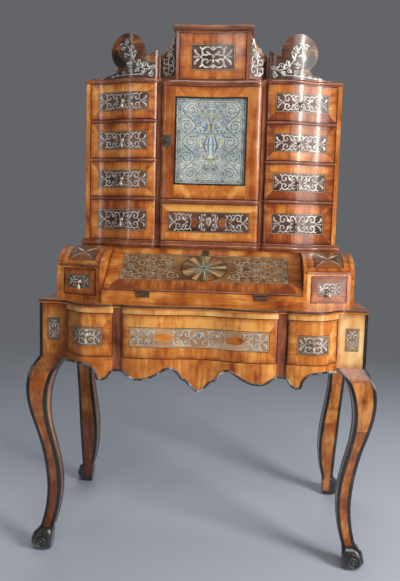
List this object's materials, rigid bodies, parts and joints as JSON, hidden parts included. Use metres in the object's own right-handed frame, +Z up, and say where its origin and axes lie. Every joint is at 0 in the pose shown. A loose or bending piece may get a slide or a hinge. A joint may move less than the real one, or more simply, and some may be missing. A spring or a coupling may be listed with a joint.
{
  "type": "escritoire",
  "caption": "Writing desk on curved legs: serpentine drawers, a sloping fall flap between drawer boxes, and an upper cabinet of drawers round a cupboard door with a scrolled crest.",
  "frame": {"origin": "middle of the overall box, on the floor", "axes": "+X to the right seen from the front, +Y to the back, +Z up"},
  "size_m": [0.9648, 0.6179, 1.5354],
  "materials": {
    "walnut": "polished walnut veneer",
    "carcass_wood": "plain oak and pine, unpolished inside",
    "kingwood": "dark polished kingwood",
    "ebonised": "black stained, carved wood",
    "engraved": "panel with an engraved pale metal skin",
    "brass": "old polished brass",
    "iron": "dark iron"
  },
  "bodies": {
    "carcass": {"legs": "walnut", "scroll_feet": "ebonised", "corner_blocks": "walnut", "stand_sides": "walnut", "top_rail": "walnut", "apron": "walnut", "pilasters": "kingwood", "dust_board": "carcass_wood", "stand_partitions": "carcass_wood", "stand_top": "walnut", "hinge_rail": "walnut", "desk_floor": "carcass_wood", "desk_partitions": "walnut", "desk_sides": "walnut", "box_tops": "walnut", "box_frames": "walnut", "desk_top": "walnut", "hinge_leaves_rail": "iron", "cabinet_base": "walnut", "cabinet_sides": "walnut", "cabinet_partitions": "kingwood", "column_boards": "kingwood", "door_rails": "kingwood", "crest_sides": "walnut", "crest_cap": "kingwood", "crest_wings": "walnut", "crest_scrolls": "walnut", "back_boards": "carcass_wood"},
    "flap": {"fall_flap": "walnut", "hinge_leaves_flap": "iron"},
    "door": {"door_frame": "walnut", "door_panel": "engraved"},
    "left_column_drawer_1": {"left_column_drawer_1": "walnut"},
    "right_column_drawer_1": {"right_column_drawer_1": "walnut"},
    "left_column_drawer_2": {"left_column_drawer_2": "walnut"},
    "right_column_drawer_2": {"right_column_drawer_2": "walnut"},
    "left_column_drawer_3": {"left_column_drawer_3": "walnut"},
    "right_column_drawer_3": {"right_column_drawer_3": "walnut"},
    "left_column_drawer_4": {"left_column_drawer_4": "walnut"},
    "right_column_drawer_4": {"right_column_drawer_4": "walnut"},
    "left_box_drawer": {"left_box_drawer": "walnut"},
    "right_box_drawer": {"right_box_drawer": "walnut"},
    "left_stand_drawer": {"left_stand_drawer": "walnut"},
    "right_stand_drawer": {"right_stand_drawer": "walnut"},
    "crest_drawer": {"crest_drawer": "walnut"},
    "centre_drawer": {"centre_drawer": "walnut"},
    "wide_drawer": {"wide_drawer": "walnut"},
    "left_column_drawer_1_drop": {"left_column_drawer_1_drop": "brass"},
    "right_column_drawer_1_drop": {"right_column_drawer_1_drop": "brass"},
    "left_column_drawer_2_drop": {"left_column_drawer_2_drop": "brass"},
    "right_column_drawer_2_drop": {"right_column_drawer_2_drop": "brass"},
    "left_column_drawer_3_drop": {"left_column_drawer_3_drop": "brass"},
    "right_column_drawer_3_drop": {"right_column_drawer_3_drop": "brass"},
    "left_column_drawer_4_drop": {"left_column_drawer_4_drop": "brass"},
    "right_column_drawer_4_drop": {"right_column_drawer_4_drop": "brass"},
    "left_box_drawer_drop": {"left_box_drawer_drop": "brass"},
    "right_box_drawer_drop": {"right_box_drawer_drop": "brass"},
    "left_stand_drawer_drop": {"left_stand_drawer_drop": "brass"},
    "right_stand_drawer_drop": {"right_stand_drawer_drop": "brass"},
    "crest_drawer_drop": {"crest_drawer_drop": "brass"}
  },
  "joints": [
    {"name": "flap_hinge", "type": "hinge", "parent": "carcass", "child": "flap", "pos_m": [0, -0.23795, 0.7673], "axis": [1, 0, 0], "range_deg": [0, 143]},
    {"name": "door_hinge", "type": "hinge", "parent": "carcass", "child": "door", "pos_m": [0.1475, -0.01394, 1.0298], "axis": [0, 0, 1], "range_deg": [0, 90]},
    {"name": "left_column_drawer_1_slide", "type": "slide", "parent": "carcass", "child": "left_column_drawer_1", "axis": [0, -1, 0], "range_m": [0, 0.16]},
    {"name": "right_column_drawer_1_slide", "type": "slide", "parent": "carcass", "child": "right_column_drawer_1", "axis": [0, -1, 0], "range_m": [0, 0.16]},
    {"name": "left_column_drawer_2_slide", "type": "slide", "parent": "carcass", "child": "left_column_drawer_2", "axis": [0, -1, 0], "range_m": [0, 0.16]},
    {"name": "right_column_drawer_2_slide", "type": "slide", "parent": "carcass", "child": "right_column_drawer_2", "axis": [0, -1, 0], "range_m": [0, 0.16]},
    {"name": "left_column_drawer_3_slide", "type": "slide", "parent": "carcass", "child": "left_column_drawer_3", "axis": [0, -1, 0], "range_m": [0, 0.16]},
    {"name": "right_column_drawer_3_slide", "type": "slide", "parent": "carcass", "child": "right_column_drawer_3", "axis": [0, -1, 0], "range_m": [0, 0.16]},
    {"name": "left_column_drawer_4_slide", "type": "slide", "parent": "carcass", "child": "left_column_drawer_4", "axis": [0, -1, 0], "range_m": [0, 0.16]},
    {"name": "right_column_drawer_4_slide", "type": "slide", "parent": "carcass", "child": "right_column_drawer_4", "axis": [0, -1, 0], "range_m": [0, 0.16]},
    {"name": "left_box_drawer_slide", "type": "slide", "parent": "carcass", "child": "left_box_drawer", "axis": [0, -1, 0], "range_m": [0, 0.22]},
    {"name": "right_box_drawer_slide", "type": "slide", "parent": "carcass", "child": "right_box_drawer", "axis": [0, -1, 0], "range_m": [0, 0.22]},
    {"name": "left_stand_drawer_slide", "type": "slide", "parent": "carcass", "child": "left_stand_drawer", "axis": [0, -1, 0], "range_m": [0, 0.26]},
    {"name": "right_stand_drawer_slide", "type": "slide", "parent": "carcass", "child": "right_stand_drawer", "axis": [0, -1, 0], "range_m": [0, 0.26]},
    {"name": "crest_drawer_slide", "type": "slide", "parent": "carcass", "child": "crest_drawer", "axis": [0, -1, 0], "range_m": [0, 0.16]},
    {"name": "centre_drawer_slide", "type": "slide", "parent": "carcass", "child": "centre_drawer", "axis": [0, -1, 0], "range_m": [0, 0.16]},
    {"name": "wide_drawer_slide", "type": "slide", "parent": "carcass", "child": "wide_drawer", "axis": [0, -1, 0], "range_m": [0, 0.26]},
    {"name": "left_column_drawer_1_drop_swing", "type": "hinge", "parent": "left_column_drawer_1", "child": "left_column_drawer_1_drop", "pos_m": [-0.2695, -0.02293, 1.3179], "axis": [-1, 0, 0], "range_deg": [0, 80]},
    {"name": "right_column_drawer_1_drop_swing", "type": "hinge", "parent": "right_column_drawer_1", "child": "right_column_drawer_1_drop", "pos_m": [0.2695, -0.02293, 1.3179], "axis": [-1, 0, 0], "range_deg": [0, 80]},
    {"name": "left_column_drawer_2_drop_swing", "type": "hinge", "parent": "left_column_drawer_2", "child": "left_column_drawer_2_drop", "pos_m": [-0.2695, -0.02293, 1.2017], "axis": [-1, 0, 0], "range_deg": [0, 80]},
    {"name": "right_column_drawer_2_drop_swing", "type": "hinge", "parent": "right_column_drawer_2", "child": "right_column_drawer_2_drop", "pos_m": [0.2695, -0.02293, 1.2017], "axis": [-1, 0, 0], "range_deg": [0, 80]},
    {"name": "left_column_drawer_3_drop_swing", "type": "hinge", "parent": "left_column_drawer_3", "child": "left_column_drawer_3_drop", "pos_m": [-0.2695, -0.02293, 1.0855], "axis": [-1, 0, 0], "range_deg": [0, 80]},
    {"name": "right_column_drawer_3_drop_swing", "type": "hinge", "parent": "right_column_drawer_3", "child": "right_column_drawer_3_drop", "pos_m": [0.2695, -0.02293, 1.0855], "axis": [-1, 0, 0], "range_deg": [0, 80]},
    {"name": "left_column_drawer_4_drop_swing", "type": "hinge", "parent": "left_column_drawer_4", "child": "left_column_drawer_4_drop", "pos_m": [-0.2695, -0.02293, 0.9618], "axis": [-1, 0, 0], "range_deg": [0, 80]},
    {"name": "right_column_drawer_4_drop_swing", "type": "hinge", "parent": "right_column_drawer_4", "child": "right_column_drawer_4_drop", "pos_m": [0.2695, -0.02293, 0.9618], "axis": [-1, 0, 0], "range_deg": [0, 80]},
    {"name": "left_box_drawer_drop_swing", "type": "hinge", "parent": "left_box_drawer", "child": "left_box_drawer_drop", "pos_m": [-0.3485, -0.2092, 0.7845], "axis": [-1, 0, 0], "range_deg": [0, 80]},
    {"name": "right_box_drawer_drop_swing", "type": "hinge", "parent": "right_box_drawer", "child": "right_box_drawer_drop", "pos_m": [0.3485, -0.2092, 0.7845], "axis": [-1, 0, 0], "range_deg": [0, 80]},
    {"name": "left_stand_drawer_drop_swing", "type": "hinge", "parent": "left_stand_drawer", "child": "left_stand_drawer_drop", "pos_m": [-0.303, -0.3042, 0.6505], "axis": [-1, 0, 0], "range_deg": [0, 80]},
    {"name": "right_stand_drawer_drop_swing", "type": "hinge", "parent": "right_stand_drawer", "child": "right_stand_drawer_drop", "pos_m": [0.303, -0.3042, 0.6505], "axis": [-1, 0, 0], "range_deg": [0, 80]},
    {"name": "crest_drawer_drop_swing", "type": "hinge", "parent": "crest_drawer", "child": "crest_drawer_drop", "pos_m": [0, -0.0282, 1.4481], "axis": [-1, 0, 0], "range_deg": [0, 80]}
  ]
}
